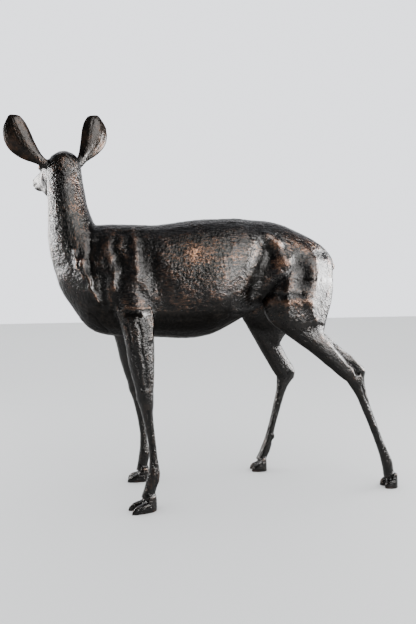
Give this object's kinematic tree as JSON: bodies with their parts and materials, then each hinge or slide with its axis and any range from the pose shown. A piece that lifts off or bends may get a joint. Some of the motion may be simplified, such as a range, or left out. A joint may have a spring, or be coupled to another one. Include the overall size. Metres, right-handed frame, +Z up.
{
  "type": "deer statue",
  "caption": "Life-size standing doe cast in dark bronze, head turned to look over its right side, ears raised, a hind leg stretched back.",
  "frame": {"origin": "on the ground under the hooves, at the middle of the statue's box", "axes": "+Z up, -X the way the chest faces, +X towards the tail, +Y the doe's right side"},
  "size_m": [1.1078, 0.3654, 1.118],
  "materials": {
    "bronze": "near-black brown waxed patina on cast bronze, rubbed to copper brown on the high places"
  },
  "bodies": {
    "root": {"doe_figure": "bronze"}
  },
  "joints": []
}
